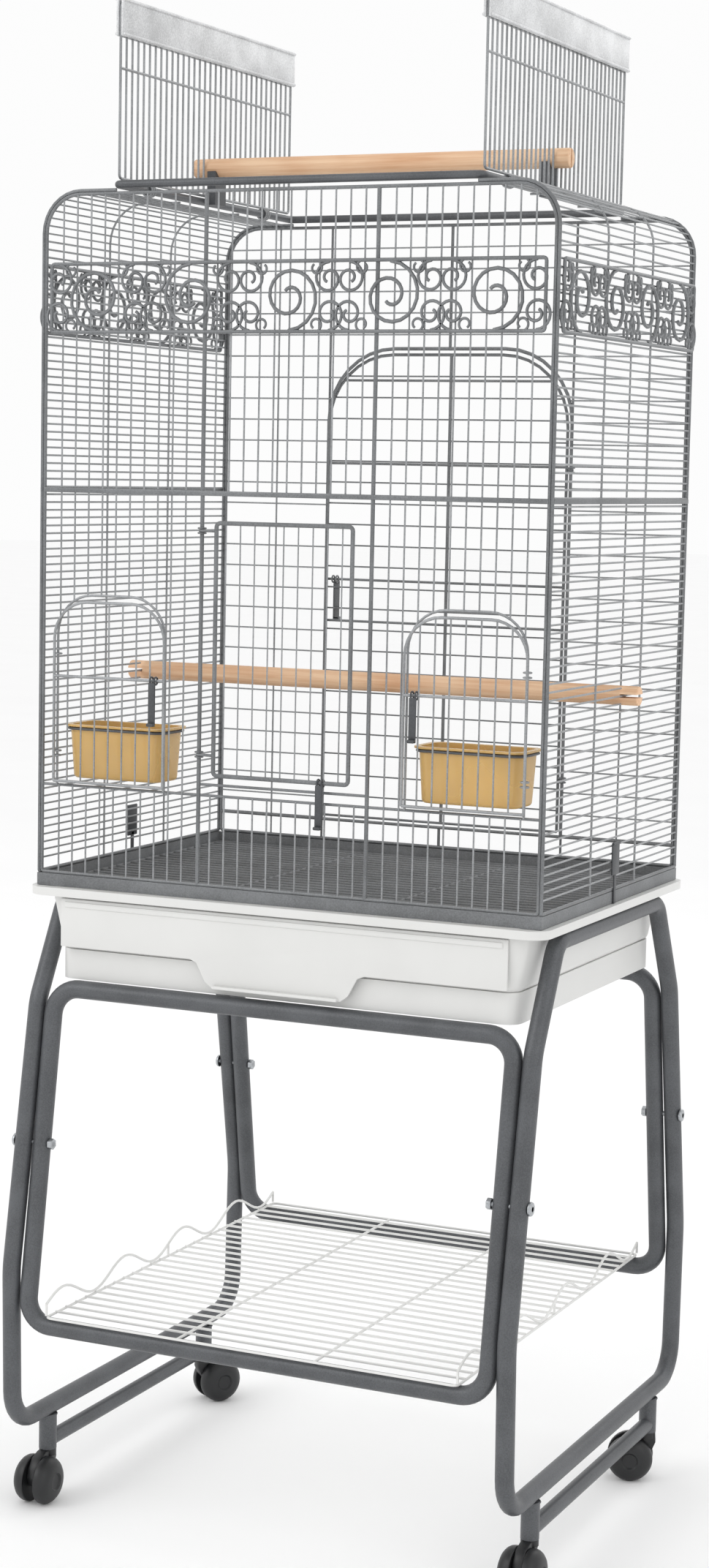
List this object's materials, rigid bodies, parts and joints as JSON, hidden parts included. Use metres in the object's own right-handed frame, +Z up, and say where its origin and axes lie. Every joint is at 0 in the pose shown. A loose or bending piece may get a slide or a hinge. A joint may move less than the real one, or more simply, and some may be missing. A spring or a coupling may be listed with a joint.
{
  "type": "bird cage on stand",
  "caption": "Wire bird cage with an opening roof, arched doors and feed cups, standing in a pan on a tubular rolling stand with a wire shelf.",
  "frame": {"origin": "on the floor under the middle of the cage", "axes": "+Z up, front with the tray pull towards -Y, +X to the right seen from the front"},
  "size_m": [0.598, 0.529, 1.5648],
  "materials": {
    "pewter_coat": "satin powder coat",
    "wire_coat": "satin powder coat",
    "dark_fitting": "satin powder coat",
    "white_plastic": "fine moulded grain",
    "white_wire": "gloss powder coat",
    "perch_wood": "plain sanded",
    "amber_plastic": "moulded gloss",
    "caster_black": "moulded satin",
    "zinc_bolt": "zinc plated"
  },
  "bodies": {
    "cage_and_stand": {"base_pan": "white_plastic", "bottom_frame": "dark_fitting", "floor_grate": "dark_fitting", "front_left_frame_bolt": "zinc_bolt", "front_right_frame_bolt": "zinc_bolt", "front_scroll_band": "pewter_coat", "front_stand_frame": "pewter_coat", "front_wire_panel": "wire_coat", "inner_perch": "perch_wood", "left_base_clip": "dark_fitting", "left_caster_rail": "pewter_coat", "left_cup_holder": "pewter_coat", "left_perch_bracket": "dark_fitting", "left_scroll_band": "pewter_coat", "left_shelf_rail": "white_wire", "left_side_loop": "pewter_coat", "left_wire_panel": "wire_coat", "rear_left_frame_bolt": "zinc_bolt", "rear_right_frame_bolt": "zinc_bolt", "rear_stand_frame": "pewter_coat", "rear_wire_panel": "wire_coat", "right_base_clip": "dark_fitting", "right_caster_rail": "pewter_coat", "right_cup_holder": "pewter_coat", "right_perch_bracket": "dark_fitting", "right_scroll_band": "pewter_coat", "right_shelf_rail": "white_wire", "right_side_loop": "pewter_coat", "right_wire_panel": "wire_coat", "roof_opening_frame": "pewter_coat", "shelf_floor": "white_wire"},
    "slide_tray": {"slide_tray": "white_plastic"},
    "left_flap": {"left_roof_flap": "wire_coat", "left_flap_lip": "pewter_coat"},
    "right_flap": {"right_roof_flap": "wire_coat", "right_flap_lip": "pewter_coat"},
    "top_perch": {"top_perch": "perch_wood"},
    "front_door": {"front_door": "pewter_coat"},
    "front_latch": {"front_door_latch": "dark_fitting"},
    "left_feeder": {"left_feeder_door": "pewter_coat"},
    "left_feeder_latch": {"left_feeder_latch": "dark_fitting"},
    "right_feeder": {"right_feeder_door": "pewter_coat"},
    "right_feeder_latch": {"right_feeder_latch": "dark_fitting"},
    "rear_door": {"rear_door": "pewter_coat"},
    "rear_latch": {"rear_door_latch": "dark_fitting"},
    "left_cup": {"left_feed_cup": "amber_plastic"},
    "right_cup": {"right_feed_cup": "amber_plastic"},
    "front_left_swivel": {"front_left_caster_fork": "caster_black"},
    "front_left_wheels": {"front_left_caster_wheels": "caster_black"},
    "front_right_swivel": {"front_right_caster_fork": "caster_black"},
    "front_right_wheels": {"front_right_caster_wheels": "caster_black"},
    "rear_left_swivel": {"rear_left_caster_fork": "caster_black"},
    "rear_left_wheels": {"rear_left_caster_wheels": "caster_black"},
    "rear_right_swivel": {"rear_right_caster_fork": "caster_black"},
    "rear_right_wheels": {"rear_right_caster_wheels": "caster_black"}
  },
  "joints": [
    {"name": "left_flap_hinge", "type": "hinge", "parent": "cage_and_stand", "child": "left_flap", "pos_m": [-0.198, 0, 1.3808], "axis": [0, -1, 0], "range_deg": [0, 90]},
    {"name": "right_flap_hinge", "type": "hinge", "parent": "cage_and_stand", "child": "right_flap", "pos_m": [0.198, 0, 1.3808], "axis": [0, 1, 0], "range_deg": [0, 90]},
    {"name": "top_perch_lift", "type": "slide", "parent": "cage_and_stand", "child": "top_perch", "axis": [0, 0, 1], "range_m": [0, 0.06]},
    {"name": "front_door_hinge", "type": "hinge", "parent": "cage_and_stand", "child": "front_door", "pos_m": [-0.0935, -0.201, 0.9], "axis": [0, 0, -1], "range_deg": [0, 110]},
    {"name": "front_latch_pivot", "type": "hinge", "parent": "front_door", "child": "front_latch", "pos_m": [0.045, -0.2057, 0.793], "axis": [-1, 0, 0], "range_deg": [0, 100]},
    {"name": "left_feeder_hinge", "type": "hinge", "parent": "cage_and_stand", "child": "left_feeder", "pos_m": [-0.259, -0.201, 0.87], "axis": [0, 0, -1], "range_deg": [0, 110]},
    {"name": "left_feeder_latch_pivot", "type": "hinge", "parent": "left_feeder", "child": "left_feeder_latch", "pos_m": [-0.144, -0.2057, 0.885], "axis": [-1, 0, 0], "range_deg": [0, 100]},
    {"name": "right_feeder_hinge", "type": "hinge", "parent": "cage_and_stand", "child": "right_feeder", "pos_m": [0.259, -0.201, 0.87], "axis": [0, 0, 1], "range_deg": [0, 110]},
    {"name": "right_feeder_latch_pivot", "type": "hinge", "parent": "right_feeder", "child": "right_feeder_latch", "pos_m": [0.144, -0.2057, 0.885], "axis": [-1, 0, 0], "range_deg": [0, 100]},
    {"name": "rear_door_hinge", "type": "hinge", "parent": "cage_and_stand", "child": "rear_door", "pos_m": [0.1465, 0.201, 0.97], "axis": [0, 0, -1], "range_deg": [0, 110]},
    {"name": "rear_latch_pivot", "type": "hinge", "parent": "rear_door", "child": "rear_latch", "pos_m": [-0.137, 0.2057, 0.978], "axis": [1, 0, 0], "range_deg": [0, 100]},
    {"name": "left_cup_lift", "type": "slide", "parent": "cage_and_stand", "child": "left_cup", "axis": [0, 0, 1], "range_m": [0, 0.08]},
    {"name": "right_cup_lift", "type": "slide", "parent": "cage_and_stand", "child": "right_cup", "axis": [0, 0, 1], "range_m": [0, 0.08]},
    {"name": "tray_slide", "type": "slide", "parent": "cage_and_stand", "child": "slide_tray", "axis": [0, -1, 0], "range_m": [0, 0.36]},
    {"name": "front_left_swivel_turn", "type": "hinge", "parent": "cage_and_stand", "child": "front_left_swivel", "pos_m": [-0.277, -0.178, 0.06], "axis": [0, 0, 1], "continuous": true},
    {"name": "front_left_wheel_roll", "type": "hinge", "parent": "front_left_swivel", "child": "front_left_wheels", "pos_m": [-0.277, -0.196, 0.025], "axis": [1, 0, 0], "continuous": true},
    {"name": "front_right_swivel_turn", "type": "hinge", "parent": "cage_and_stand", "child": "front_right_swivel", "pos_m": [0.277, -0.178, 0.06], "axis": [0, 0, 1], "continuous": true},
    {"name": "front_right_wheel_roll", "type": "hinge", "parent": "front_right_swivel", "child": "front_right_wheels", "pos_m": [0.277, -0.196, 0.025], "axis": [1, 0, 0], "continuous": true},
    {"name": "rear_left_swivel_turn", "type": "hinge", "parent": "cage_and_stand", "child": "rear_left_swivel", "pos_m": [-0.277, 0.178, 0.06], "axis": [0, 0, 1], "continuous": true},
    {"name": "rear_left_wheel_roll", "type": "hinge", "parent": "rear_left_swivel", "child": "rear_left_wheels", "pos_m": [-0.26668, 0.19274, 0.025], "axis": [-0.8192, 0.5736, 0], "continuous": true},
    {"name": "rear_right_swivel_turn", "type": "hinge", "parent": "cage_and_stand", "child": "rear_right_swivel", "pos_m": [0.277, 0.178, 0.06], "axis": [0, 0, 1], "continuous": true},
    {"name": "rear_right_wheel_roll", "type": "hinge", "parent": "rear_right_swivel", "child": "rear_right_wheels", "pos_m": [0.25988, 0.17244, 0.025], "axis": [0.309, -0.9511, 0], "continuous": true}
  ]
}
